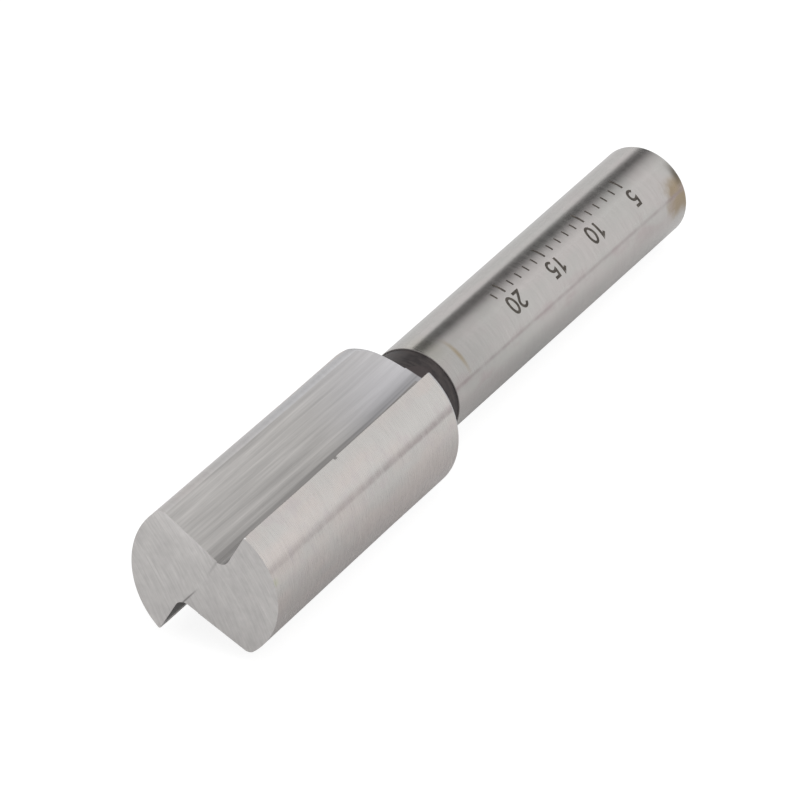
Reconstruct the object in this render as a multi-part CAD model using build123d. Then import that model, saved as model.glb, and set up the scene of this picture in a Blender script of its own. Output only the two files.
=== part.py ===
from build123d import *
import math
import os

# Two-flute straight router bit, ground from one piece of high-speed steel.
# Bit frame: Z runs along the axis from the cutting end (z = 0) to the shank end.
# The finished solid is laid down in its resting pose: X along the bit, Z up,
# origin on the supporting surface, under the middle of the bounding box.

# ---- driving dimensions, mm ----
SHANK_D = 6.35            # quarter-inch shank
NECK_D_HEAD = 6.04        # scale-covered neck, where it leaves the head
NECK_D = 6.20             # and where it meets the shank
CUTTER_D_FRONT = 10.27    # at the cutting end
CUTTER_D = 10.05          # behind the slightly tapered front zone
TAPER_LEN = 15.5          # length of the tapered front zone
HEAD_LEN = 21.9           # cutting end to rear rim of the head
SHOULDER_KNEE_R = 4.0     # the rounded shoulder meets the rear cone at this radius
SHOULDER_KNEE_RUN = 1.0   # and this far behind the rear rim
SHOULDER_BULGE = 0.12     # how far the rounding stands out from its chord
SHOULDER_SLOPE = 0.427    # axial run per unit of radius of the rear cone
NECK_END = 25.2           # where the ground shank begins
TOTAL_LEN = 54.48
END_CHAMFER = 0.22        # at the shank end

WEB_HALF = 2.16           # axis to the floor of each flute
FLOOR_TURN = -10.7        # turn of the flute section about the axis, degrees
RAKE_UPPER = -0.505       # rake face of one flute, measured along its floor
RAKE_LOWER = -0.66        # and of the other, which is ground a little deeper
FLUTE_STRAIGHT = 17.8     # straight length of the flute floor
FLUTE_WHEEL_R = 24.0      # run-out radius of the flute floor
FLUTE_CORNER_R = 0.57     # inside corner between floor and rake face
HEEL_R = 0.55             # rounding of the heel edges

END_RELIEF = 0.060        # fall of each end face from its cutting edge to its heel
END_DISH = 0.016          # fall of each end face from its corner to the centre
END_SPLIT_TURN = 3.0      # turn of the line that parts the two end faces

R_S, R_N, R_NH = SHANK_D / 2, NECK_D / 2, NECK_D_HEAD / 2
R1, R2 = CUTTER_D_FRONT / 2, CUTTER_D / 2
KNEE_Z = HEAD_LEN + SHOULDER_KNEE_RUN
NECK_START = KNEE_Z + SHOULDER_SLOPE * (SHOULDER_KNEE_R - R_NH)
FAR = 9.0


def blank():
    """The turned blank, with its front end left 1 mm long for the end faces."""
    grow = (R1 - R2) / TAPER_LEN
    front = [(0, 0, -1), (R1 + grow, 0, -1), (R2, 0, TAPER_LEN), (R2, 0, HEAD_LEN)]
    knee = (SHOULDER_KNEE_R, 0, KNEE_Z)
    dr, dz = R2 - SHOULDER_KNEE_R, SHOULDER_KNEE_RUN
    chord = math.hypot(dr, dz)
    mid = ((R2 + SHOULDER_KNEE_R) / 2 + SHOULDER_BULGE * dz / chord, 0,
           HEAD_LEN + dz / 2 + SHOULDER_BULGE * dr / chord)
    rear = [knee, (R_NH, 0, NECK_START), (R_N, 0, NECK_END), (R_S, 0, NECK_END + 0.06),
            (R_S, 0, TOTAL_LEN - END_CHAMFER), (R_S - END_CHAMFER, 0, TOTAL_LEN), (0, 0, TOTAL_LEN), (0, 0, -1)]
    outline = [Line(p, q) for pts in (front, rear) for p, q in zip(pts, pts[1:])]
    face = make_face(Wire(outline + [ThreePointArc(front[-1], mid, knee)]))
    return revolve(face, axis=Axis.Z, revolution_arc=360)


def notch(left, z):
    """Flute section at height z: a square corner with a small inside radius."""
    c = FLUTE_CORNER_R
    x0, y0 = left, WEB_HALF
    k = c * (1 - math.sqrt(0.5))
    edges = [
        Line((x0 + c, y0, z), (FAR, y0, z)),
        Line((FAR, y0, z), (FAR, FAR, z)),
        Line((FAR, FAR, z), (x0, FAR, z)),
        Line((x0, FAR, z), (x0, y0 + c, z)),
        ThreePointArc((x0, y0 + c, z), (x0 + k, y0 + k, z), (x0 + c, y0, z)),
    ]
    return make_face(Wire(edges))


def flute(rake):
    """One flute with its rake face at the given offset: straight run and circular run-out."""
    straight = extrude(notch(rake, -3), amount=3 + FLUTE_STRAIGHT, dir=(0, 0, 1))
    hub = Axis((0, WEB_HALF + FLUTE_WHEEL_R, FLUTE_STRAIGHT), (-1, 0, 0))
    runout = revolve(notch(rake, FLUTE_STRAIGHT), axis=hub, revolution_arc=30)
    return straight + runout


def end_half(rake):
    """Everything behind the end face of the lobe whose corner points to +y."""
    # z = END_RELIEF * (rake - x) + END_DISH * (R1 - y)
    normal = Vector(END_RELIEF, END_DISH, 1).normalized()
    face = Plane(origin=(rake, R1, 0), z_dir=(normal.X, normal.Y, normal.Z))
    body = Pos(-10, 0, 30) * Box(20, 40, 80)
    body = Rot(0, 0, END_SPLIT_TURN) * body
    return split(body, bisect_by=face, keep=Keep.TOP)


def bit():
    solid = blank()
    turn = Rot(0, 0, FLOOR_TURN)
    half_turn = Rot(0, 0, 180)
    solid = solid - turn * flute(RAKE_UPPER) - half_turn * turn * flute(RAKE_LOWER)
    solid = solid & (turn * end_half(RAKE_UPPER) + half_turn * turn * end_half(RAKE_LOWER))
    return solid.solids()[0] if len(solid.solids()) == 1 else solid


def heel_edges(solid):
    """The lengthwise edges where each flute floor meets the land behind it."""
    found = []
    for edge in solid.edges():
        m = edge @ 0.5
        a = math.degrees(math.atan2(m.Y, m.X)) % 180
        if abs((edge % 0.5).Z) > 0.9 and 0.5 < m.Z < HEAD_LEN and math.hypot(m.X, m.Y) > R2 - 0.05 and 5 < a < 40:
            found.append(edge)
    return found


def resting_frame():
    """Directions of the bit frame's axes once the bit lies on one open flute.

    It rests on the lower flute's cutting edge and heel edge at the rear rim and
    on the lower edge of the shank end."""
    t = math.radians(FLOOR_TURN)

    def world(x, y):
        # the lower flute is the half-turned one
        return (-(x * math.cos(t) - y * math.sin(t)), -(x * math.sin(t) + y * math.cos(t)))

    lift = (HEAD_LEN - FLUTE_STRAIGHT) ** 2 / (2 * FLUTE_WHEEL_R)
    rake = RAKE_LOWER
    tip_y = math.sqrt(R2 ** 2 - rake ** 2)
    tip = world(rake, tip_y)
    cy = WEB_HALF + lift - HEEL_R
    cx = math.sqrt((R2 - HEEL_R) ** 2 - cy ** 2)
    slant = math.atan2(cy - tip_y, cx - rake) + math.asin(HEEL_R / math.hypot(cx - rake, cy - tip_y))
    heel = world(cx - HEEL_R * math.sin(slant), cy + HEEL_R * math.cos(slant))
    dx, dy = heel[0] - tip[0], heel[1] - tip[1]
    length = math.hypot(dx, dy)
    nx, ny = -dy / length, dx / length          # away from the axis
    if nx * tip[0] + ny * tip[1] < 0:
        nx, ny = -nx, -ny
    reach = nx * tip[0] + ny * tip[1]
    tilt = math.atan2(reach - R_S, TOTAL_LEN - END_CHAMFER - HEAD_LEN)
    return math.degrees(math.atan2(-ny, -nx)), math.degrees(tilt)


UP_ANGLE, TILT = resting_frame()
b, t = math.radians(UP_ANGLE), math.radians(TILT)
up = (math.sin(t), 0.0, math.cos(t))            # section direction that points up
axis = (math.cos(t), 0.0, -math.sin(t))
x_dir = (math.cos(b) * up[0], math.sin(b), math.cos(b) * up[2])
frame = Plane(origin=(0, 0, 0), x_dir=x_dir, z_dir=axis)

raw = bit()
heels = heel_edges(raw)
raw = raw.fillet(HEEL_R, heels)
print("volume", round(raw.volume, 2), "centre of mass along the axis", round(raw.center(CenterOf.MASS).Z, 2),
      "rear rim", HEAD_LEN, "up angle", round(UP_ANGLE, 2), "tilt", round(TILT, 3))
laid = frame.location * raw
box = laid.bounding_box()
shift = (-(box.min.X + box.max.X) / 2, -(box.min.Y + box.max.Y) / 2, -box.min.Z)
laid = Pos(*shift) * laid
box = laid.bounding_box()
print("box", [round(v, 3) for v in (box.min.X, box.min.Y, box.min.Z, box.max.X, box.max.Y, box.max.Z)])
print("bit origin in the frame", [round(v, 4) for v in shift], "axis", [round(v, 5) for v in axis],
      "x_dir", [round(v, 5) for v in x_dir])
os.makedirs("parts", exist_ok=True)
export_step(laid, "parts/router_bit.step")
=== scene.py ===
import math
import bpy
from mathutils import Matrix, Vector


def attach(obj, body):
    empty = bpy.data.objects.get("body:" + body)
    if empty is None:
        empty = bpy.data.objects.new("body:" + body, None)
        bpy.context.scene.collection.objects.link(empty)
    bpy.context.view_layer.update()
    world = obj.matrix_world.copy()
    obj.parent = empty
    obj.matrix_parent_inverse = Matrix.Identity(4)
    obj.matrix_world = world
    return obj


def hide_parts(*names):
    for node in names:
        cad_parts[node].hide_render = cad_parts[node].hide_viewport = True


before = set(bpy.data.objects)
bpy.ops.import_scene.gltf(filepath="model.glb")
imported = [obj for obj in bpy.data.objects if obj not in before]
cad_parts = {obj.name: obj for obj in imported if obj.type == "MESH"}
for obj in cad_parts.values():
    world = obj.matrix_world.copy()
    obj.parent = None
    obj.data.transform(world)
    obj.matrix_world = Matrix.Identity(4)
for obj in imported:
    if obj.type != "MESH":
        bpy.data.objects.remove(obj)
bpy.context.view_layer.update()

MM = 0.001

# ------------------------------------------------------------------ frame of the bit in the row frame
T = math.radians(1.692)                       # dip of the bit's axis towards the shank end
B = math.radians(52.13)                       # turn of the section about the axis
BIT_O = Vector((-27.2097, 0.0, 4.806)) * MM  # middle of the cutting end
UP = Vector((math.sin(T), 0, math.cos(T)))
BZ = Vector((math.cos(T), 0, -math.sin(T)))
BX = Vector((math.cos(B) * UP.x, math.sin(B), math.cos(B) * UP.z))
BY = BZ.cross(BX)


def place(x, y, z):
    """bit coordinates in mm to the row frame in metres"""
    return BIT_O + (BX * x + BY * y + BZ * z) * MM


# ------------------------------------------------------------------ camera: long lens, level, looking down
R_MM = 3.175
F_PX, U0, V0, DIST = 8553.0, 201.96, 584.47, 160.6 * R_MM * MM
TH, PHI = math.radians(42.56), math.radians(-41.68)
ax = Vector((math.sin(TH) * math.cos(PHI), math.sin(TH) * math.sin(PHI), math.cos(TH)))
org = Vector(((U0 - 400.5) / F_PX * DIST, (V0 - 400.0) / F_PX * DIST, DIST))
e1 = ax.cross(Vector((0, 0, 1))).normalized()
e2 = ax.cross(e1)
to_world = Matrix((BX, BY, BZ)).transposed() @ Matrix((e1, e2, ax))
cam_data = bpy.data.cameras.new("camera")
cam = bpy.data.objects.new("camera", cam_data)
bpy.context.scene.collection.objects.link(cam)
cam_data.sensor_fit = "HORIZONTAL"
cam_data.sensor_width = 36.0
cam_data.lens = F_PX / 801.0 * 36.0
cam_data.clip_start, cam_data.clip_end = 0.05, 10
rot = Matrix((to_world @ Vector((1, 0, 0)), to_world @ Vector((0, -1, 0)), to_world @ Vector((0, 0, -1)))).transposed()
cam.matrix_world = Matrix.Translation(BIT_O - to_world @ org) @ rot.to_4x4()
bpy.context.scene.camera = cam

# ------------------------------------------------------------------ dimensions, mm
R_S, R_N, R_NH = 3.175, 3.10, 3.02
R1, R2 = 5.129, 5.022
TAPER, HEAD, NECK_END, TOTAL = 15.5, 21.9, 25.2, 54.478
KNEE_R, KNEE_Z, BULGE, SLOPE = 4.0, 22.9, 0.12, 0.427
NECK_START = KNEE_Z + SLOPE * (KNEE_R - R_NH)
WEB, TURN = 2.16, math.radians(-10.7)
FLUTE_Z, WHEEL = 17.8, 24.0
CORNER, HEEL = 0.57, 0.55
RELIEF, DISH = 0.060, 0.016
SPLIT_LOW, SPLIT_UP = math.radians(9.5), math.radians(1.0)
RAKE_UP, RAKE_LO = -0.505, -0.66             # the two rake faces are not ground quite alike
EDGE = 0.015                                   # broken front edge


def lerp(z, pts):
    if z <= pts[0][0]:
        return pts[0][1]
    for (z0, v0), (z1, v1) in zip(pts, pts[1:]):
        if z <= z1:
            return v0 + (v1 - v0) * (z - z0) / (z1 - z0)
    return pts[-1][1]


def radius(z):
    if z <= TAPER:
        return R1 + (R2 - R1) * z / TAPER
    if z <= HEAD:
        return R2
    if z < KNEE_Z:                             # rounded shoulder: an arc through rim, bulge and knee
        dr, dz = R2 - KNEE_R, KNEE_Z - HEAD
        chord = math.hypot(dr, dz)
        rad = (chord * chord / 4 + BULGE * BULGE) / (2 * BULGE)
        back = rad - BULGE
        cr = (R2 + KNEE_R) / 2 - back * dz / chord
        cz = (HEAD + KNEE_Z) / 2 - back * dr / chord
        return cr + math.sqrt(max(rad * rad - (z - cz) ** 2, 0.0))
    if z < NECK_START:
        return KNEE_R - (z - KNEE_Z) / SLOPE
    return R_NH + (R_N - R_NH) * min(1.0, (z - NECK_START) / (NECK_END - NECK_START))


def rake_x(z, flute):
    """the rake face of flute 0, or of flute 1"""
    if flute:
        return RAKE_LO
    return lerp(z, [(0, -0.552), (6.0, -0.558), (10.48, -0.535), (10.80, -0.528), (17.0, -0.492), (21.9, -0.458)])


def nick(z, flute):
    """depth of the nick in the cutting edge of flute 0"""
    return 0.0 if flute else lerp(z, [(10.48, 0.0), (10.56, 0.122), (10.70, 0.110), (10.80, 0.0)])


def tip_round(z):
    """radius of the cutting edge, worn at the front corner"""
    return lerp(z, [(0, 0.11), (0.7, 0.015)])


def floor_y(z):
    return WEB + (max(0.0, z - FLUTE_Z) ** 2) / (2 * WHEEL)


N_TIP, N_RAKE, N_FIL, N_CH, N_FLOOR, N_HEEL, N_OD = 6, 14, 14, 8, 44, 14, 84
M = N_TIP + N_RAKE + N_FIL + N_CH + N_FLOOR + N_HEEL + N_OD


def tip_centre(z, flute, R, yf):
    """centre and radius of the cutting edge's rounding, in that flute's coordinates"""
    xr = max(rake_x(z, flute) - nick(z, flute), -math.sqrt(max(R * R - yf * yf, 0)))
    gone = yf >= math.sqrt(max(R * R - xr * xr, 0)) - 0.05
    rt = 0.0 if gone else tip_round(z)
    return xr, rt, math.sqrt(max((R - rt) ** 2 - (xr - rt) ** 2, 0.0)), gone


def half_section(z, flute):
    """Half of the outline in flute coordinates, from one cutting edge over the flute and the next
    lobe's land, up to the other cutting edge. Always M points, with the same meaning at each z."""
    R = radius(z)
    yf = min(floor_y(z), R - 1e-3)
    reach = math.sqrt(R * R - yf * yf)
    xt, rt, tip_y, gone = tip_centre(z, flute, R, yf)
    xr = max(rake_x(z, flute), -reach)         # the rake face itself; the nick is only in its edge
    c = 0.0 if gone else max(0.0, min(CORNER, (tip_y - yf) * 0.85, (reach - xr) * 0.3))
    pts = []
    a_tip = math.atan2(tip_y, xt - rt)
    for i in range(N_TIP):                     # the cutting edge
        a = a_tip * (1 - i / N_TIP)
        pts.append((xt - rt + rt * math.cos(a), tip_y + rt * math.sin(a)))
    for i in range(N_RAKE):                    # down the rake face
        drop = (tip_y - yf - c) * (i / N_RAKE) ** 1.6
        pts.append((xr + (xt - xr) * max(0.0, 1 - drop / 0.35), tip_y - drop))
    # the channel beside the rake face lies a little under the floor and fades out past the nick
    ch = 0.028 * lerp(z, [(10.5, 1.0), (13.5, 0.0)])
    for i in range(N_FIL):                     # inside corner
        a = math.radians(180 + 90 * i / N_FIL)
        pts.append((xr + c + c * math.cos(a), yf + c - ch * (i / N_FIL) + c * math.sin(a)))
    x0 = xr + c
    xs = x0 + 0.02 if gone else max(x0 + 0.02, min(0.69, reach * 0.6))
    for i in range(N_CH):
        pts.append((x0 + (xs - x0) * i / (N_CH - 1), yf - ch))
    # heel rounding: circle inside the land, tangent to the floor
    h = min(HEEL, (reach - xs) * 0.2, (R - yf) * 0.3)
    cy = yf - h
    cx = math.sqrt(max((R - h) ** 2 - cy * cy, 0.0))
    xf = xs + 0.085
    for i in range(N_FLOOR):
        pts.append((xf + (cx - xf) * i / N_FLOOR, yf))
    a_end = math.atan2(cy, cx)
    for i in range(N_HEEL):
        a = math.pi / 2 + (a_end - math.pi / 2) * i / N_HEEL
        pts.append((cx + h * math.cos(a), cy + h * math.sin(a)))
    xo, ro, yo, _ = tip_centre(z, 1 - flute, R, yf)
    b_end = math.atan2(-yo, -(xo - ro))        # where the other cutting edge begins
    if b_end > a_end:
        b_end -= 2 * math.pi
    for i in range(N_OD):
        a = a_end + (b_end - a_end) * i / N_OD
        pts.append((R * math.cos(a), R * math.sin(a)))
    return pts


def ring(z, inset=0.0):
    out = half_section(z, 0) + [(-x, -y) for x, y in half_section(z, 1)]
    if inset:
        n = len(out)
        res = []
        for i, (x, y) in enumerate(out):
            x0, y0 = out[i - 1]
            x1, y1 = out[(i + 1) % n]
            tx, ty = x1 - x0, y1 - y0
            L = math.hypot(tx, ty) or 1.0
            # the outline runs clockwise, so the inside is on its right
            res.append((x + ty / L * inset, y - tx / L * inset))
        out = res
    c, s = math.cos(TURN), math.sin(TURN)
    return [(x * c - y * s, x * s + y * c) for x, y in out], out


def end_z(lx, ly, side):
    """the end faces, in flute coordinates; side 1 is the lobe whose corner points to +y"""
    rake = RAKE_UP if side > 0 else RAKE_LO
    return RELIEF * (rake - lx * side) + DISH * (R1 - ly * side)


def apart(lx, ly):
    """distance from the line that parts the end faces; it bends a little at the middle"""
    turn = SPLIT_LOW if ly < 0 else SPLIT_UP
    reach = WEB + 0.14                         # past the web it runs parallel to the flutes
    return lx * math.cos(turn) + max(-reach, min(reach, ly)) * math.sin(turn)


# which of the outline's points belong to which end face
def side_of(lx, ly):
    return 1 if apart(lx, ly) < 0 else -1


LAND, FLOOR, RAKE, ENDF, SHOULDER, NECK, SHANK, BUTT, HEELM = range(9)
seg = ([LAND] * N_TIP + [RAKE] * (N_RAKE + N_FIL) + [FLOOR] * (N_CH + N_FLOOR) + [HEELM] * N_HEEL + [LAND] * N_OD) * 2
verts, faces, mats = [], [], []
N = 2 * M
zs = [0.08, 0.2, 0.35, 0.5, 0.7, 1.0, 1.6, 2.4, 3.2, 4.0, 5.0, 6.0, 7.0, 8.0, 9.0, 9.8, 10.3, 10.48, 10.52, 10.56, 10.63, 10.70, 10.75, 10.80, 10.9, 11.25,
      11.6, 12.1, 12.6, 13.2, 13.8, 14.6, 15.5, 16.4, 17.2, 17.8, 18.4, 19.0, 19.6, 20.2, 20.8, 21.3, 21.6, 21.9]
zs += [21.9 + 0.05 * i for i in range(1, 29)]
zs += [NECK_START + 0.002 + 0.1 * i for i in range(0, 11)]
zs += [24.55, 24.7, 24.9, 25.2]

# front: inset cap ring, then the outline ring behind the broken edge
sec, loc = ring(0.0)
sec_in, loc_in = ring(0.0, EDGE)
sides = [side_of(x, y) for x, y in loc]


def add(pts):
    i = len(verts)
    verts.extend(place(*p) for p in pts)
    return i


def z_front(i, l):
    return end_z(l[i][0], l[i][1], sides[i])


cap = add([(sec_in[i][0], sec_in[i][1], z_front(i, loc_in)) for i in range(N)])
first = add([(sec[i][0], sec[i][1], z_front(i, loc) + EDGE) for i in range(N)])
centre = add([(0, 0, (end_z(0, 0, 1) + end_z(0, 0, -1)) / 2)])
changes = [i for i in range(N) if sides[i] != sides[i - 1]]
parting = {}
for i in changes:
    # where the parting line leaves the outline, between points i - 1 and i
    (xa, ya), (xb, yb) = loc_in[i - 1], loc_in[i]
    fa, fb = apart(xa, ya), apart(xb, yb)
    u = fa / (fa - fb)
    lx, ly = xa + (xb - xa) * u, ya + (yb - ya) * u
    sx = sec_in[i - 1][0] + (sec_in[i][0] - sec_in[i - 1][0]) * u
    sy = sec_in[i - 1][1] + (sec_in[i][1] - sec_in[i - 1][1]) * u
    parting[i] = (add([(sx, sy, end_z(lx, ly, sides[i - 1]))]), add([(sx, sy, end_z(lx, ly, sides[i]))]))
for k, start in enumerate(changes):
    stop = changes[(k + 1) % len(changes)]
    idx, i = [parting[start][1]], start
    while i != stop:
        idx.append(cap + i)
        i = (i + 1) % N
    idx.append(parting[stop][0])
    faces.append([centre] + idx)               # one end face
    mats.append(ENDF)
    faces.append([centre, parting[start][0], parting[start][1]])   # wall of the step between them
    mats.append(ENDF)
for i in range(N):
    j = (i + 1) % N
    rim = [cap + i] + (list(parting[j]) if j in parting else []) + [cap + j, first + j, first + i]
    faces.append(rim)
    mats.append(ENDF)
prev, prev_z = first, 0.0
for z in zs:
    s_, l_ = ring(min(z, 24.5))
    if z > 24.5:                              # plain neck: spread the points evenly again
        rn = radius(z)
        s_ = [(rn * x / math.hypot(x, y), rn * y / math.hypot(x, y)) for x, y in s_]
    front_shift = max(0.0, 1 - z / 1.0) if z < 1.0 else 0.0
    cur = add([(x, y, z + front_shift * (z_front(i, loc) if z < 1.0 else 0)) for i, (x, y) in enumerate(s_)])
    for i in range(N):
        j = (i + 1) % N
        faces.append([prev + i, prev + j, cur + j, cur + i])
        mid = (z + prev_z) / 2
        m = seg[i]
        if m in (LAND, HEELM) and mid > 21.9:
            m = SHOULDER if mid < NECK_START else NECK
        elif mid > 21.9 and m in (FLOOR, RAKE):
            # the ground floor stops where it dives under the scale-covered neck
            m = m if m == FLOOR and mid < NECK_START + 1.2 else NECK if mid > NECK_START else m
        mats.append(m)
    prev, prev_z = cur, z

# shank: even rings of its own, joined to the neck by a narrow step
K = 256
ang = [2 * math.pi * i / K for i in range(K)]


def circle(r, z):
    return add([(r * math.cos(a), r * math.sin(a), z) for a in ang])


back = circle(R_N - 0.4, 25.18)               # closes the step from inside the neck
step = circle(R_S - 0.02, 25.2)
a0 = circle(R_S, 25.24)
rings = [back, step, a0] + [circle(R_S, 25.24 + (TOTAL - 0.3 - 25.24) * i / 24) for i in range(1, 25)]
ch1 = circle(R_S - 0.03, TOTAL - 0.16)
ch2 = circle(R_S - 0.14, TOTAL - 0.03)
ch3 = circle(R_S - 0.22, TOTAL)
rings += [circle(R_S, TOTAL - 0.22), ch1, ch2, ch3]
for k, (p, q) in enumerate(zip(rings, rings[1:])):
    for i in range(K):
        j = (i + 1) % K
        faces.append([p + i, q + i, q + j, p + j])
        mats.append(BUTT if q in (ch2, ch3) else NECK if k < 2 else SHANK)
faces.append([ch3 + i for i in range(K)])
mats.append(BUTT)
faces.append([back + i for i in reversed(range(K))])
mats.append(NECK)
# the neck's own end, hidden inside the shank
faces.append([prev + i for i in range(N)])
mats.append(NECK)

mesh = bpy.data.meshes.new("bit_detail")
mesh.from_pydata([tuple(v) for v in verts], [], faces)
for p, m in zip(mesh.polygons, mats):
    p.material_index = m
    p.use_smooth = m != ENDF
mesh.validate()
import bmesh
bm = bmesh.new()
bm.from_mesh(mesh)
bmesh.ops.remove_doubles(bm, verts=bm.verts, dist=1e-8)
bmesh.ops.dissolve_degenerate(bm, edges=bm.edges, dist=1e-8)
loose = [v for v in bm.verts if not v.link_faces]
bmesh.ops.delete(bm, geom=loose, context="VERTS")
bmesh.ops.recalc_face_normals(bm, faces=bm.faces)
bm.to_mesh(mesh)
bm.free()
mesh.set_sharp_from_angle(angle=math.radians(24))
bit = bpy.data.objects.new("bit_detail", mesh)
bpy.context.scene.collection.objects.link(bit)


# ------------------------------------------------------------------ materials
class Tree:
    """A short way to write a node tree in the bit's own millimetre coordinates."""

    def __init__(self, name, base, rough, metal=1.0):
        self.mat = bpy.data.materials.new(name)
        self.mat.use_nodes = True
        self.t = self.mat.node_tree
        self.n, self.l = self.t.nodes, self.t.links
        self.bsdf = self.n["Principled BSDF"]
        self.bsdf.inputs["Metallic"].default_value = metal
        self.bsdf.inputs["Base Color"].default_value = (*base, 1)
        self.bsdf.inputs["Roughness"].default_value = rough
        tc = self.n.new("ShaderNodeTexCoord")
        sub = self.vm("SUBTRACT", tc.outputs["Object"], tuple(BIT_O))
        self.x = self.ma("MULTIPLY", self.dot(sub, BX), 1000.0)
        self.y = self.ma("MULTIPLY", self.dot(sub, BY), 1000.0)
        self.z = self.ma("MULTIPLY", self.dot(sub, BZ), 1000.0)

    def put(self, sock, v):
        if isinstance(v, bpy.types.NodeSocket):
            self.l.new(v, sock)
        else:
            sock.default_value = v

    def vm(self, op, a, b_=None):
        nd = self.n.new("ShaderNodeVectorMath")
        nd.operation = op
        self.put(nd.inputs[0], a)
        if b_ is not None:
            self.put(nd.inputs[1], b_)
        return nd.outputs[0]

    def dot(self, a, v):
        nd = self.n.new("ShaderNodeVectorMath")
        nd.operation = "DOT_PRODUCT"
        self.put(nd.inputs[0], a)
        nd.inputs[1].default_value = tuple(v)
        return nd.outputs["Value"]

    def ma(self, op, a, b_=0.0, c=0.0, clamp=False):
        nd = self.n.new("ShaderNodeMath")
        nd.operation = op
        nd.use_clamp = clamp
        self.put(nd.inputs[0], a)
        self.put(nd.inputs[1], b_)
        self.put(nd.inputs[2], c)
        return nd.outputs[0]

    def xyz(self, a, b_, c):
        nd = self.n.new("ShaderNodeCombineXYZ")
        for s, v in zip(nd.inputs, (a, b_, c)):
            self.put(s, v)
        return nd.outputs[0]

    def noise(self, vec, scale=1.0, detail=3.0, rough=0.55, dist=0.0):
        nd = self.n.new("ShaderNodeTexNoise")
        self.put(nd.inputs["Vector"], vec)
        nd.inputs["Scale"].default_value = scale
        nd.inputs["Detail"].default_value = detail
        nd.inputs["Roughness"].default_value = rough
        nd.inputs["Distortion"].default_value = dist
        return nd.outputs["Fac"]

    def ramp(self, fac, lo, hi, a=0.0, b_=1.0, smooth=True):
        nd = self.n.new("ShaderNodeMapRange")
        nd.interpolation_type = "SMOOTHSTEP" if smooth else "LINEAR"
        self.put(nd.inputs["Value"], fac)
        for k, v in (("From Min", lo), ("From Max", hi), ("To Min", a), ("To Max", b_)):
            nd.inputs[k].default_value = v
        return nd.outputs["Result"]

    def bump_at(self, v, centre, width):
        """1 at the centre, 0 a width away"""
        d = self.ma("ABSOLUTE", self.ma("SUBTRACT", v, centre))
        return self.ramp(d, 0.0, width, 1.0, 0.0)

    def mix(self, fac, a, b_):
        nd = self.n.new("ShaderNodeMix")
        nd.data_type = "RGBA"
        self.put(nd.inputs["Factor"], fac)
        for s, v in ((nd.inputs["A"], a), (nd.inputs["B"], b_)):
            if isinstance(v, tuple):
                s.default_value = (*v, 1)
            else:
                self.l.new(v, s)
        return nd.outputs["Result"]

    def scale_colour(self, col, f):
        nd = self.n.new("ShaderNodeVectorMath")
        nd.operation = "SCALE"
        self.put(nd.inputs[0], col)
        self.put(nd.inputs["Scale"], f)
        return nd.outputs[0]

    def bump(self, height, strength, dist_mm):
        nd = self.n.new("ShaderNodeBump")
        self.put(nd.inputs["Height"], height)
        nd.inputs["Strength"].default_value = strength
        nd.inputs["Distance"].default_value = dist_mm * MM
        self.l.new(nd.outputs["Normal"], self.bsdf.inputs["Normal"])

    def colour(self, sock):
        self.l.new(sock, self.bsdf.inputs["Base Color"])

    def rough(self, sock):
        self.l.new(sock, self.bsdf.inputs["Roughness"])

    def angle(self):
        """angle about the bit's axis, radians"""
        return self.ma("ARCTAN2", self.y, self.x)


def flute_xy(t):
    c, s = math.cos(TURN), math.sin(TURN)
    lx = t.ma("ADD", t.ma("MULTIPLY", t.x, c), t.ma("MULTIPLY", t.y, s))
    ly = t.ma("ADD", t.ma("MULTIPLY", t.x, -s), t.ma("MULTIPLY", t.y, c))
    return lx, ly


def ring_grain(t, r, z_freq=9.0, arc_freq=0.55):
    """fine grinding marks that run round the axis"""
    a = t.angle()
    ca, sa = t.ma("COSINE", a), t.ma("SINE", a)
    k = r * arc_freq
    vec = t.xyz(t.ma("MULTIPLY", ca, k), t.ma("MULTIPLY", sa, k), t.ma("MULTIPLY", t.z, z_freq))
    fine = t.noise(vec, 1.0, 2.5, 0.6)
    broad = t.noise(t.xyz(t.ma("MULTIPLY", ca, k * 0.5), t.ma("MULTIPLY", sa, k * 0.5), t.ma("MULTIPLY", t.z, z_freq * 0.22)), 1.0, 2.0)
    return fine, broad


def half_turn_angle(t):
    """the angle about the axis, folded so that both lobes carry the same features; it runs from
    60 to 240 degrees, so that it doesn't jump anywhere on a land"""
    low = math.radians(60)
    return t.ma("ADD", t.ma("MODULO", t.ma("ADD", t.angle(), 2 * math.pi - low), math.pi), low)


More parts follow.
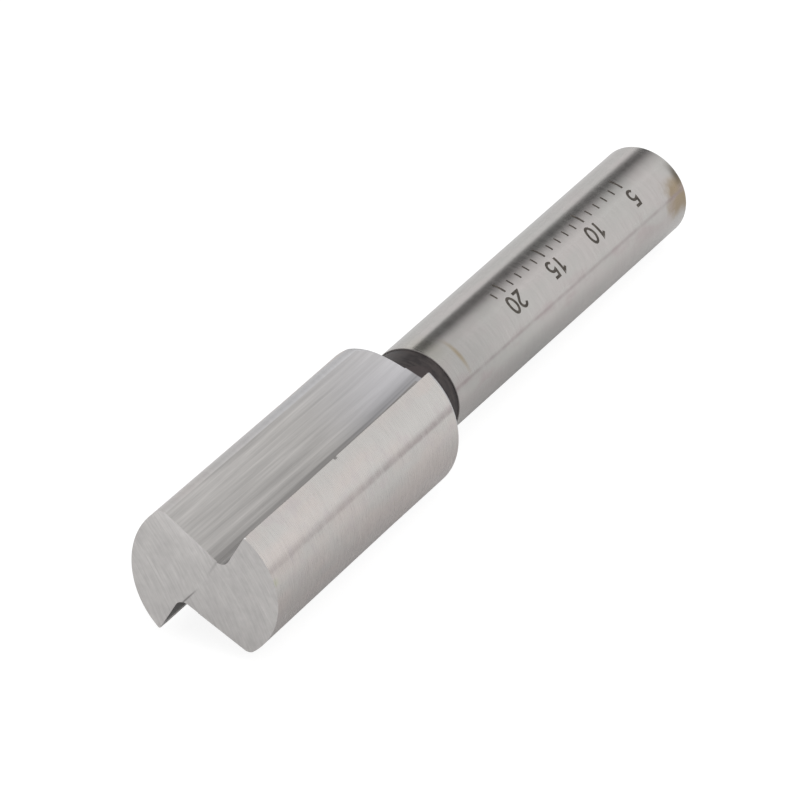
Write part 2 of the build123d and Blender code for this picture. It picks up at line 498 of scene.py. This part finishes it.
def land_material(name="ground_land", heel=False):
    t = Tree(name, (0.56, 0.53, 0.515), 0.30)
    fine, broad = ring_grain(t, R2, 17.0, 1.0)
    blot = t.noise(t.xyz(t.x, t.y, t.ma("MULTIPLY", t.z, 0.45)), 0.55, 3.0)
    v = t.ramp(fine, 0.25, 0.75, 0.955, 1.035, False)
    v = t.ma("MULTIPLY", v, t.ramp(broad, 0.3, 0.7, 0.975, 1.02, False))
    warm = t.mix(t.ramp(blot, 0.35, 0.65), (0.565, 0.548, 0.530), (0.590, 0.546, 0.522))
    warm = t.mix(t.ramp(t.noise(t.xyz(t.x, t.y, t.z), 0.9, 2.0), 0.5, 0.75, 0, 0.7), warm, (0.552, 0.510, 0.507))
    if not heel:
        a = half_turn_angle(t)
        wob = t.ma("SUBTRACT", t.noise(t.xyz(t.x, t.y, t.ma("MULTIPLY", t.z, 0.7)), 0.9, 3.0), 0.5)
        # painted reflection: a dark purplish streak along the land, soft on its upper side, sharper on the lower
        path = t.ramp(t.z, 8.0, 20.0, math.radians(115.0), math.radians(115.7), False)
        d = t.ma("SUBTRACT", t.ma("ADD", a, t.ma("MULTIPLY", wob, 0.020)), path)
        streak = t.ma("MULTIPLY", t.ramp(d, math.radians(-5.5), math.radians(-0.2)), t.ramp(d, math.radians(0.4), math.radians(3.0), 1.0, 0.0))
        patchy = t.ramp(t.noise(t.xyz(t.ma("MULTIPLY", a, 6.0), 0.0, t.ma("MULTIPLY", t.z, 1.1)), 1.0, 3.5, 0.65), 0.3, 0.62, 0.55, 1.0)
        warm = t.mix(t.ma("MULTIPLY", t.ma("MULTIPLY", streak, patchy), t.ramp(t.z, 2.0, 19.0, 0.28, 0.60, False)), warm, (0.270, 0.222, 0.225))
        # painted highlight: a little brighter between the cutting edge and the streak
        v = t.ma("MULTIPLY", v, t.ramp(a, math.radians(88), math.radians(104), 1.02, 1.06))
        # painted shade: darker past the streak, less so towards the rear
        beyond = t.ma("MULTIPLY", t.ramp(a, math.radians(105), math.radians(118)), t.ramp(t.z, 3.0, 21.0, 0.150, 0.060, False))
        v = t.ma("MULTIPLY", v, t.ma("SUBTRACT", 1.0, beyond))
        # the low part of the land: warmer in tone, and darker as painted shade
        low = t.ramp(a, math.radians(122), math.radians(160))
        warm = t.mix(t.ma("MULTIPLY", low, 0.45), warm, (0.480, 0.430, 0.420))
        # faint green spot by the front edge
        spot = t.ma("MULTIPLY", t.bump_at(a, math.radians(123.6), math.radians(4.5)), t.bump_at(t.z, 0.35, 0.55))
        warm = t.mix(t.ma("MULTIPLY", spot, 0.45), warm, (0.430, 0.470, 0.290))
        near = t.ramp(t.y, -0.5, 0.5)          # these two are on one lobe only
        # painted shade: dark round the nick in the cutting edge
        tick = t.ma("MULTIPLY", t.bump_at(t.z, 10.63, 0.26), t.ma("MULTIPLY", near, t.ramp(a, math.radians(87.6), math.radians(86.3))))
        warm = t.mix(t.ma("MULTIPLY", tick, 0.85), warm, (0.045, 0.040, 0.038))
        # painted highlight: a white glint on the chipped front corner of the cutting edge
        chip_highlight = t.ma("MULTIPLY", t.ramp(t.z, 0.20, 0.10), t.ma("MULTIPLY", near, t.ramp(a, math.radians(86.9), math.radians(86.2))))
        warm = t.mix(chip_highlight, warm, (1.0, 1.0, 1.0))
    if heel:
        warm = t.mix(t.ramp(t.z, 4.0, 15.0, 0.35, 1.0), warm, (0.572, 0.566, 0.574))
    t.colour(t.scale_colour(warm, v))
    t.rough(t.ramp(fine, 0.3, 0.7, 0.52, 0.58) if heel else t.ramp(fine, 0.3, 0.7, 0.25, 0.34))
    t.bump(fine, 0.10 if heel else 0.25, 0.002)
    return t.mat


def floor_material():
    t = Tree("ground_floor", (0.46, 0.46, 0.46), 0.36)
    lx, ly = flute_xy(t)
    side = t.ma("SIGN", ly)
    ax_ = t.ma("MULTIPLY", lx, side)
    drift = t.ma("MULTIPLY", t.z, 0.012)
    ax2 = t.ma("ADD", ax_, drift)
    line = t.noise(t.xyz(t.ma("MULTIPLY", ax2, 3.0), side, t.ma("MULTIPLY", t.z, 0.075)), 1.0, 4.5, 0.66, 0.25)
    hair = t.noise(t.xyz(t.ma("MULTIPLY", ax2, 12.0), side, t.ma("MULTIPLY", t.z, 0.22)), 1.0, 2.0, 0.6)
    broad = t.noise(t.xyz(t.ma("MULTIPLY", ax2, 0.9), side, t.ma("MULTIPLY", t.z, 0.10)), 1.0, 2.0)
    v = t.ramp(line, 0.30, 0.70, 0.79, 1.17, False)
    v = t.ma("MULTIPLY", v, t.ramp(hair, 0.3, 0.7, 0.945, 1.045, False))
    v = t.ma("MULTIPLY", v, t.ramp(broad, 0.35, 0.65, 0.95, 1.05, False))
    # streaks fade towards the rear, where the tone turns cool and even
    rear = t.ramp(t.z, 13.0, 21.5)
    v = t.ma("ADD", t.ma("MULTIPLY", v, t.ma("SUBTRACT", 1.0, t.ma("MULTIPLY", rear, 0.48))), t.ma("MULTIPLY", rear, 0.48))
    # painted shade: darker beside the rake face, over a wider strip towards the rear
    strip = t.ramp(t.z, 9.0, 21.0, 0.90, 1.25)
    wall = t.ma("DIVIDE", t.ma("SUBTRACT", ax_, 0.28), strip, clamp=True)
    v = t.ma("MULTIPLY", v, t.ramp(wall, 0.0, 1.0, 0.86, 1.0))
    # more painted shade close to the rake face at the rear, and along the channel's edge
    near_wall_shade = t.ma("MULTIPLY", t.ramp(ax_, 0.74, 0.38), t.ramp(t.z, 16.5, 20.0, 0.0, 0.22))
    near_wall_shade = t.ma("MULTIPLY", near_wall_shade, t.ramp(ax_, 0.17, 0.30))
    v = t.ma("MULTIPLY", v, t.ma("SUBTRACT", 1.0, near_wall_shade))
    channel_shade = t.ma("MULTIPLY", t.ramp(ax_, 0.25, 0.36, 0.30, 0.0), t.ramp(t.z, 17.0, 20.5, 1.0, 0.72))
    v = t.ma("MULTIPLY", v, t.ma("SUBTRACT", 1.0, channel_shade))
    # painted shade along the step where the channel ends, fading out past the nick
    mark = t.ma("MULTIPLY", t.bump_at(ax_, 0.715, 0.16), t.ramp(t.z, 9.5, 14.0, 0.12, 0.0))
    v = t.ma("MULTIPLY", v, t.ma("SUBTRACT", 1.0, mark))
    col = t.mix(rear, (0.478, 0.462, 0.450), (0.508, 0.500, 0.516))
    col = t.mix(t.ramp(ax_, 0.4, 4.4, 0.0, 0.5), col, (0.510, 0.494, 0.482))
    # behind the shoulder the flute dives under the dark neck; the scale covers it past this line
    line_z = t.ma("ADD", t.ma("MULTIPLY", t.ma("SUBTRACT", 1.65, t.x), 0.16), 23.37)
    dark = t.ramp(t.ma("SUBTRACT", t.z, line_z), -0.03, 0.05)
    both = t.scale_colour(col, v)
    t.colour(t.mix(dark, both, (0.066, 0.057, 0.057)))
    t.rough(t.ramp(line, 0.3, 0.7, 0.30, 0.42))
    t.bump(t.ma("ADD", line, t.ma("MULTIPLY", hair, 0.5)), 0.35, 0.005)
    return t.mat


def rake_material():
    t = Tree("ground_rake", (0.40, 0.39, 0.385), 0.40)
    lx, ly = flute_xy(t)
    side = t.ma("SIGN", ly)
    ax_ = t.ma("MULTIPLY", lx, side)
    line = t.noise(t.xyz(t.ma("MULTIPLY", lx, 9.0), t.ma("MULTIPLY", ly, 7.0), t.ma("MULTIPLY", t.z, 0.12)), 1.0, 3.0)
    v = t.ramp(line, 0.3, 0.7, 0.86, 1.08, False)
    col = t.mix(t.ramp(line, 0.4, 0.6), (0.405, 0.392, 0.386), (0.435, 0.420, 0.412))
    # painted shade: darker into the inside corner between rake face and floor
    fillet_shade = t.ramp(ax_, -0.30, 0.02, 0.0, 1.0)
    # the lower flute's rake face: painted shade, with a bright stripe of painted reflection along it
    lower = t.ramp(ly, 0.5, -0.5)
    pale = t.ramp(t.bump_at(t.ma("MULTIPLY", ly, side), 4.74, 0.34), 0.0, 1.0, 0.50, 1.6)
    v = t.ma("MULTIPLY", v, t.ma("ADD", 1.0, t.ma("MULTIPLY", lower, t.ma("SUBTRACT", pale, 1.0))))
    col = t.mix(t.ma("MULTIPLY", fillet_shade, 0.85), col, (0.250, 0.240, 0.232))
    t.colour(t.scale_colour(col, v))
    t.bump(line, 0.3, 0.004)
    return t.mat


def end_material():
    t = Tree("ground_end", (0.44, 0.425, 0.415), 0.36)
    # grinding lines: straight, close together and slightly bowed, the same way over both end faces
    ang_ = 1.913
    u = t.ma("ADD", t.ma("MULTIPLY", t.x, math.cos(ang_)), t.ma("MULTIPLY", t.y, math.sin(ang_)))
    w = t.ma("SUBTRACT", t.ma("MULTIPLY", t.y, math.cos(ang_)), t.ma("MULTIPLY", t.x, math.sin(ang_)))
    bow = t.ma("ADD", u, t.ma("MULTIPLY", t.ma("MULTIPLY", w, w), 0.022))
    line = t.noise(t.xyz(t.ma("MULTIPLY", bow, 7.0), t.ma("MULTIPLY", w, 0.55), 0.0), 1.0, 3.0, 0.6)
    few = t.noise(t.xyz(t.ma("MULTIPLY", bow, 2.6), t.ma("MULTIPLY", w, 0.22), 4.0), 1.0, 2.0, 0.5)
    blot = t.noise(t.xyz(t.x, t.y, 0.0), 0.7, 2.0)
    v = t.ramp(line, 0.3, 0.7, 0.905, 1.085, False)
    v = t.ma("MULTIPLY", v, t.ramp(few, 0.62, 0.74, 1.0, 1.09))
    v = t.ma("MULTIPLY", v, t.ramp(few, 0.38, 0.26, 1.0, 0.93))
    lx, ly = flute_xy(t)
    # lighter by the upper flute's floor edge
    v = t.ma("MULTIPLY", v, t.ma("ADD", 1.0, t.ma("MULTIPLY", t.ma("MULTIPLY", t.ramp(ly, 0.2, 2.1), t.ramp(lx, 0.3, 1.5)), 0.13)))
    speck = t.noise(t.xyz(t.x, t.y, 2.0), 2.4, 2.0)
    v = t.ma("MULTIPLY", v, t.ramp(speck, 0.3, 0.7, 0.965, 1.035, False))
    # painted shade along the step where the end faces part: a dark line on one half, a fainter wedge on the other
    step_shade = t.ma("MULTIPLY", t.bump_at(t.x, -0.035, 0.095), t.ramp(t.y, -0.35, -1.55, 0.0, 0.50))
    step_shade = t.ma("MULTIPLY", step_shade, t.ramp(t.y, -2.6, -2.3))
    step_wedge_shade = t.ma("MULTIPLY", t.bump_at(lx, 0.02, 0.15), t.ramp(ly, 0.5, 1.7, 0.0, 0.17))
    v = t.ma("MULTIPLY", t.ma("MULTIPLY", v, t.ma("SUBTRACT", 1.0, step_shade)), t.ma("SUBTRACT", 1.0, step_wedge_shade))
    t.colour(t.scale_colour(t.mix(t.ramp(blot, 0.35, 0.65), (0.428, 0.414, 0.407), (0.448, 0.434, 0.425)), v))
    t.bump(line, 0.25, 0.003)
    return t.mat


def neck_material():
    t = Tree("scale_neck", (0.045, 0.038, 0.038), 0.42, 0.55)
    n_ = t.noise(t.xyz(t.x, t.y, t.ma("MULTIPLY", t.z, 3.0)), 1.2, 4.0)
    dark = t.mix(t.ramp(n_, 0.35, 0.7), (0.028, 0.023, 0.024), (0.062, 0.052, 0.050))
    t.colour(t.mix(t.ramp(t.z, 25.19, 25.197), dark, (0.200, 0.185, 0.180)))
    t.rough(t.ramp(n_, 0.3, 0.7, 0.36, 0.52))
    t.bump(n_, 0.4, 0.01)
    return t.mat


def shank_material():
    t = Tree("ground_shank", (0.54, 0.525, 0.505), 0.17)
    fine, broad = ring_grain(t, R_S, 15.0, 0.9)
    a = t.angle()
    v = t.ramp(fine, 0.25, 0.75, 0.945, 1.04, False)
    v = t.ma("MULTIPLY", v, t.ramp(broad, 0.3, 0.7, 0.975, 1.02, False))
    blot = t.noise(t.xyz(t.x, t.y, t.ma("MULTIPLY", t.z, 0.4)), 0.55, 3.0)
    col = t.mix(t.ramp(blot, 0.35, 0.65), (0.515, 0.503, 0.486), (0.535, 0.506, 0.494))
    wob = t.ma("MULTIPLY", t.ma("SUBTRACT", t.noise(t.xyz(t.x, t.y, t.z), 0.9, 3.0), 0.5), 1.6)
    # tan stain by the end of the shank, darker and greenish at the rim
    near_end = t.ramp(t.ma("ADD", t.z, t.ma("MULTIPLY", wob, 1.3)), 51.6, 52.9)
    round_ = t.ma("ADD", a, t.ma("MULTIPLY", wob, 0.20))
    where = t.ma("MULTIPLY", t.ramp(round_, math.radians(90), math.radians(110)), t.ramp(round_, math.radians(152), math.radians(134)))
    col = t.mix(t.ma("MULTIPLY", t.ma("MULTIPLY", near_end, where), 0.95), col, (0.345, 0.275, 0.190))
    rim = t.ma("MULTIPLY", t.ramp(t.z, 53.48, 54.13), t.bump_at(a, math.radians(100), math.radians(26)))
    col = t.mix(t.ma("MULTIPLY", rim, 0.8), col, (0.105, 0.092, 0.070))
    # a thin tan ring and a wider faint tint behind the neck
    zc = t.ma("ADD", t.z, t.ma("MULTIPLY", wob, 0.13))
    fade = t.bump_at(a, math.radians(88), math.radians(33))
    col = t.mix(t.ma("MULTIPLY", t.ma("MULTIPLY", t.bump_at(zc, 27.15, 0.30), fade), 0.75), col, (0.375, 0.300, 0.185))
    tint = t.ma("MULTIPLY", t.ramp(zc, 27.6, 26.0), t.bump_at(a, math.radians(55), math.radians(45)))
    col = t.mix(t.ma("MULTIPLY", tint, 0.35), col, (0.45, 0.43, 0.34))
    # pinkish handling marks low on the near side, and a thin dark lengthwise line that is a painted reflection
    pink = t.ma("MULTIPLY", t.ramp(t.noise(t.xyz(t.x, t.y, t.ma("MULTIPLY", t.z, 0.35)), 1.1, 3.0), 0.45, 0.7),
                t.bump_at(a, math.radians(125), math.radians(32)))
    col = t.mix(t.ma("MULTIPLY", pink, 0.65), col, (0.470, 0.405, 0.405))
    path = t.ramp(t.z, 27.0, 49.0, math.radians(117.6), math.radians(119.6), False)
    d = t.ma("SUBTRACT", t.ma("ADD", a, t.ma("MULTIPLY", wob, 0.02)), path)
    low = t.ma("MULTIPLY", t.bump_at(d, 0.0, math.radians(3.6)),
               t.ramp(t.noise(t.xyz(0.0, 0.0, t.z), 0.5, 3.0), 0.3, 0.6, 0.10, 0.42))
    col = t.mix(low, col, (0.29, 0.235, 0.240))
    # darker on top near the neck
    top_darkening = t.ma("MULTIPLY", t.ramp(t.z, 36.0, 27.0, 0.0, 0.15), t.ma("MULTIPLY", t.ramp(a, math.radians(62), math.radians(78)), t.ramp(a, math.radians(150), math.radians(120))))
    v = t.ma("MULTIPLY", v, t.ma("SUBTRACT", 1.0, top_darkening))
    # faint crosshatch from a collet, low on the near side
    h1 = t.ma("SINE", t.ma("ADD", t.ma("MULTIPLY", a, 110.0), t.ma("MULTIPLY", t.z, 22.0)))
    patch = t.ma("MULTIPLY", t.bump_at(t.z, 40.5, 4.0), t.bump_at(a, math.radians(136), math.radians(16)))
    v = t.ma("MULTIPLY", v, t.ma("ADD", 1.0, t.ma("MULTIPLY", t.ma("MULTIPLY", h1, patch), 0.035)))
    t.colour(t.scale_colour(col, v))
    t.rough(t.ramp(fine, 0.3, 0.7, 0.185, 0.235))
    t.bump(fine, 0.10, 0.0010)
    return t.mat


def mark_material():
    t = Tree("etched_marks", (0.07, 0.06, 0.052), 0.5, 0.6)
    n_ = t.noise(t.xyz(t.x, t.y, t.z), 3.5, 3.0)
    t.colour(t.mix(t.ramp(n_, 0.35, 0.72), (0.052, 0.044, 0.036), (0.118, 0.104, 0.090)))
    t.rough(t.ramp(n_, 0.3, 0.7, 0.42, 0.58))
    t.bump(n_, 0.3, 0.002)
    return t.mat


def butt_material():
    t = Tree("shank_end", (0.30, 0.28, 0.25), 0.45)
    n_ = t.noise(t.xyz(t.x, t.y, t.z), 1.6, 3.0)
    rr = t.ma("SQRT", t.ma("ADD", t.ma("MULTIPLY", t.x, t.x), t.ma("MULTIPLY", t.y, t.y)))
    rings_ = t.noise(t.xyz(t.ma("MULTIPLY", rr, 7.0), 0.0, 0.0), 1.0, 2.0)
    v = t.ramp(rings_, 0.3, 0.7, 0.86, 1.1, False)
    t.colour(t.scale_colour(t.mix(t.ramp(n_, 0.35, 0.65), (0.24, 0.215, 0.17), (0.42, 0.40, 0.37)), v))
    t.bump(rings_, 0.35, 0.008)
    return t.mat


for m in (land_material(), floor_material(), rake_material(), end_material(), land_material("ground_shoulder", True),
          neck_material(), shank_material(), butt_material(), land_material("heel_rounding", True)):
    mesh.materials.append(m)
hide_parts("router_bit")
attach(bit, "root")

# ------------------------------------------------------------------ etched depth scale: ticks and plain numerals
mv, mf = [], []
TOP_R, SUNK_R = R_S + 0.003, R_S - 0.02


def on_shank(z, phi, r):
    return place(r * math.cos(phi), r * math.sin(phi), z)


def stroke(path, width, closed=False):
    """a closed thin ribbon along path, a list of (z, arc length round the shank) in mm"""
    fine_path = []
    n = len(path)
    for i in range(n if closed else n - 1):
        a, c = path[i], path[(i + 1) % n]
        steps = max(1, int(math.hypot(c[0] - a[0], c[1] - a[1]) / 0.09))
        fine_path += [(a[0] + (c[0] - a[0]) * k / steps, a[1] + (c[1] - a[1]) * k / steps) for k in range(steps)]
    if not closed:
        fine_path.append(path[-1])
    n = len(fine_path)
    base = len(mv)
    for i, (pz, pa) in enumerate(fine_path):
        prev = fine_path[i - 1] if (i or closed) else fine_path[i]
        nxt = fine_path[(i + 1) % n] if (i < n - 1 or closed) else fine_path[i]
        d1 = Vector((pz - prev[0], pa - prev[1]))
        d2 = Vector((nxt[0] - pz, nxt[1] - pa))
        d1 = d1.normalized() if d1.length > 1e-9 else d2.normalized()
        d2 = d2.normalized() if d2.length > 1e-9 else d1
        t_ = (d1 + d2).normalized() if (d1 + d2).length > 1e-6 else d1
        nrm = Vector((-t_.y, t_.x))
        k = width / 2 / max(0.5, nrm.dot(Vector((-d1.y, d1.x))))
        for sgn in (1, -1):
            q = (pz + nrm.x * k * sgn, pa + nrm.y * k * sgn)
            mv.append(on_shank(q[0], q[1] / R_S, TOP_R))
            mv.append(on_shank(q[0], q[1] / R_S, SUNK_R))
    for i in range(n if closed else n - 1):
        a, c = base + 4 * i, base + 4 * ((i + 1) % n)
        mf.extend([(a, a + 2, c + 2, c), (a + 1, c + 1, c + 3, a + 3), (a, c, c + 1, a + 1), (a + 2, a + 3, c + 3, c + 2)])
    if not closed:
        a, c = base, base + 4 * (n - 1)
        mf.extend([(a, a + 1, a + 3, a + 2), (c, c + 2, c + 3, c + 1)])


def arc(cx, cy, rx, ry, a0, a1, n=18):
    return [(cx + rx * math.cos(math.radians(a0 + (a1 - a0) * i / n)), cy + ry * math.sin(math.radians(a0 + (a1 - a0) * i / n)))
            for i in range(n + 1)]


DIGITS = {
    "0": ([arc(0.3, 0.5, 0.26, 0.46, 0, 360)[:-1]], True),
    "1": ([[(0.12, 0.74), (0.36, 0.96), (0.36, 0.04)]], False),
    "2": ([arc(0.30, 0.70, 0.24, 0.26, 165, -35) + [(0.06, 0.05), (0.56, 0.05)]], False),
    "5": ([[(0.52, 0.95), (0.13, 0.95), (0.10, 0.55)] + arc(0.28, 0.33, 0.25, 0.28, 115, -140)], False),
}
TALL = 1.22


def number(text, z_mid, phi0):
    """numerals that read towards the neck, their feet at the angle phi0 and their tops lower down the side"""
    wide = 0.74 * TALL
    for k, ch_ in enumerate(text):
        paths, closed = DIGITS[ch_]
        left = (k - len(text) / 2) * wide + 0.07 * TALL
        for path in paths:
            stroke([(z_mid - left - u * TALL, math.radians(phi0) * R_S + v_ * TALL) for u, v_ in path], 0.205, closed)


for depth in range(5, 22):
    z_t = TOTAL - depth
    long_ = depth % 5 == 0
    stroke([(z_t, math.radians(53 if long_ else 61) * R_S), (z_t, math.radians(71) * R_S)], 0.18 if long_ else 0.14)
    if long_:
        number(str(depth), z_t, 77.5)
mm = bpy.data.meshes.new("depth_scale")
mm.from_pydata([tuple(v) for v in mv], [], mf)
bm = bmesh.new()
bm.from_mesh(mm)
bmesh.ops.recalc_face_normals(bm, faces=bm.faces)
bm.to_mesh(mm)
bm.free()
mm.materials.append(mark_material())
marks = bpy.data.objects.new("depth_scale", mm)
bpy.context.scene.collection.objects.link(marks)
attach(marks, "root")

# ------------------------------------------------------------------ floor, lights
floor_mesh = bpy.data.meshes.new("floor")
S = 3.0
floor_mesh.from_pydata([(-S, -S, 0), (S, -S, 0), (S, S, 0), (-S, S, 0)], [], [(0, 1, 2, 3)])
floor = bpy.data.objects.new("floor", floor_mesh)
bpy.context.scene.collection.objects.link(floor)
fm = bpy.data.materials.new("paper")
fm.use_nodes = True
fm.node_tree.nodes["Principled BSDF"].inputs["Base Color"].default_value = (0.18, 0.18, 0.18, 1)
fm.node_tree.nodes["Principled BSDF"].inputs["Emission Color"].default_value = (1, 1, 1, 1)
fm.node_tree.nodes["Principled BSDF"].inputs["Emission Strength"].default_value = 0.87
fm.node_tree.nodes["Principled BSDF"].inputs["Roughness"].default_value = 0.9
floor_mesh.materials.append(fm)

world = bpy.data.worlds.new("studio")
bpy.context.scene.world = world
world.use_nodes = True
world.node_tree.nodes["Background"].inputs["Color"].default_value = (1, 1, 1, 1)
world.node_tree.nodes["Background"].inputs["Strength"].default_value = 0.92


def softbox(name, loc, size, power):
    light = bpy.data.lights.new(name, "AREA")
    light.shape = "SQUARE"
    light.size = size
    light.energy = power
    ob = bpy.data.objects.new(name, light)
    bpy.context.scene.collection.objects.link(ob)
    ob.location = loc
    ob.rotation_euler = (-Vector(loc)).to_track_quat("-Z", "Y").to_euler()
    ob.visible_camera = False
    return ob


softbox("key", (-0.15, -0.25, 0.65), 0.5, 1.2)


def card(name, azimuth, elevation, distance, wide, high, tone, fading=False):
    """a dark card that only reflections see; a fading one turns pale towards its right-hand end"""
    d = Vector((math.cos(elevation) * math.cos(azimuth), math.cos(elevation) * math.sin(azimuth), math.sin(elevation)))
    right = d.cross(Vector((0, 0, 1))).normalized()
    up = right.cross(d)
    c = d * distance
    me = bpy.data.meshes.new(name)
    me.from_pydata([c - right * wide - up * high, c + right * wide - up * high,
                    c + right * wide + up * high, c - right * wide + up * high], [], [(0, 1, 2, 3)])
    ob = bpy.data.objects.new(name, me)
    bpy.context.scene.collection.objects.link(ob)
    mt = bpy.data.materials.new(name)
    mt.use_nodes = True
    mt.node_tree.nodes["Principled BSDF"].inputs["Base Color"].default_value = (tone, tone, tone, 1)
    mt.node_tree.nodes["Principled BSDF"].inputs["Roughness"].default_value = 1.0
    if fading:
        mn, ml = mt.node_tree.nodes, mt.node_tree.links
        spot = mn.new("ShaderNodeTexCoord")
        along_ = mn.new("ShaderNodeVectorMath")
        along_.operation = "DOT_PRODUCT"
        ml.new(spot.outputs["Object"], along_.inputs[0])
        along_.inputs[1].default_value = tuple(right / wide)
        off = mn.new("ShaderNodeMath")
        off.operation = "SUBTRACT"
        ml.new(along_.outputs["Value"], off.inputs[0])
        off.inputs[1].default_value = c.dot(right) / wide
        parts_ = []
        for lo_, hi_, to_ in ((-0.52, 0.20, 0.60), (0.20, 1.0, 0.32)):
            rg = mn.new("ShaderNodeMapRange")
            ml.new(off.outputs[0], rg.inputs["Value"])
            for k_, v_ in (("From Min", lo_), ("From Max", hi_), ("To Min", 0.0), ("To Max", to_)):
                rg.inputs[k_].default_value = v_
            parts_.append(rg.outputs["Result"])
        total = mn.new("ShaderNodeMath")
        total.operation = "ADD"
        ml.new(parts_[0], total.inputs[0])
        ml.new(parts_[1], total.inputs[1])
        floor_tone = mn.new("ShaderNodeMath")
        floor_tone.operation = "MAXIMUM"
        ml.new(total.outputs[0], floor_tone.inputs[0])
        floor_tone.inputs[1].default_value = tone
        ml.new(floor_tone.outputs[0], mn["Principled BSDF"].inputs["Base Color"])
    me.materials.append(mt)
    ob.visible_camera = False
    ob.visible_shadow = False
    ob.visible_diffuse = False
    return ob


card("dark_card", math.radians(11.5), math.radians(33.0), 0.6, 0.24, 0.105, 0.09, True)
card("low_back", math.radians(44), math.radians(5), 0.9, 0.50, 0.10, 0.76)

# the table that the bit's underside reflects, seen by reflections only: greyer close to the bit as a painted shadow,
# fading out with distance
under = bpy.data.meshes.new("table_reflection")
under.from_pydata([(-0.5, -0.5, 0.0001), (0.5, -0.5, 0.0001), (0.5, 0.5, 0.0001), (-0.5, 0.5, 0.0001)], [], [(0, 1, 2, 3)])
table_ = bpy.data.objects.new("table_reflection", under)
bpy.context.scene.collection.objects.link(table_)
tm = bpy.data.materials.new("table_tone")
tm.use_nodes = True
tn, tl = tm.node_tree.nodes, tm.node_tree.links
tc = tn.new("ShaderNodeTexCoord")
sp = tn.new("ShaderNodeSeparateXYZ")
tl.new(tc.outputs["Object"], sp.inputs[0])


def table_node(kind, **kw):
    nd = tn.new(kind)
    for k_, v_ in kw.items():
        setattr(nd, k_, v_)
    return nd


def table_ramp(sock, lo, hi, a_, b_):
    nd = table_node("ShaderNodeMapRange", interpolation_type="SMOOTHSTEP")
    tl.new(sock, nd.inputs["Value"])
    for k_, v_ in (("From Min", lo), ("From Max", hi)):
        nd.inputs[k_].default_value = v_
    for k_, v_ in (("To Min", a_), ("To Max", b_)):
        if isinstance(v_, bpy.types.NodeSocket):
            tl.new(v_, nd.inputs[k_])
        else:
            nd.inputs[k_].default_value = v_
    return nd.outputs["Result"]


ab = table_node("ShaderNodeMath", operation="ABSOLUTE")
tl.new(sp.outputs["Y"], ab.inputs[0])
by_head = table_ramp(ab.outputs[0], 0.006, 0.034, 0.60, 0.95)
under_shank = table_ramp(sp.outputs["X"], 0.006, 0.027, 0.52, 0.68)
near_side = table_ramp(ab.outputs[0], 0.0036, 0.0125, under_shank, 0.76)
far_side = table_ramp(ab.outputs[0], 0.0036, 0.0125, 0.56, 0.68)
by_shank = table_ramp(sp.outputs["Y"], -0.001, 0.001, near_side, far_side)
along = table_ramp(sp.outputs["X"], -0.004, 0.008, by_head, by_shank)
tone = table_ramp(sp.outputs["X"], -0.0279, -0.0266, 0.93, along)
tl.new(tone, tn["Principled BSDF"].inputs["Base Color"])
tn["Principled BSDF"].inputs["Roughness"].default_value = 1.0
under.materials.append(tm)
table_.visible_camera = False
table_.visible_shadow = False
table_.visible_diffuse = False

bpy.context.scene.view_settings.view_transform = "Standard"
bpy.context.scene.view_settings.look = "None"
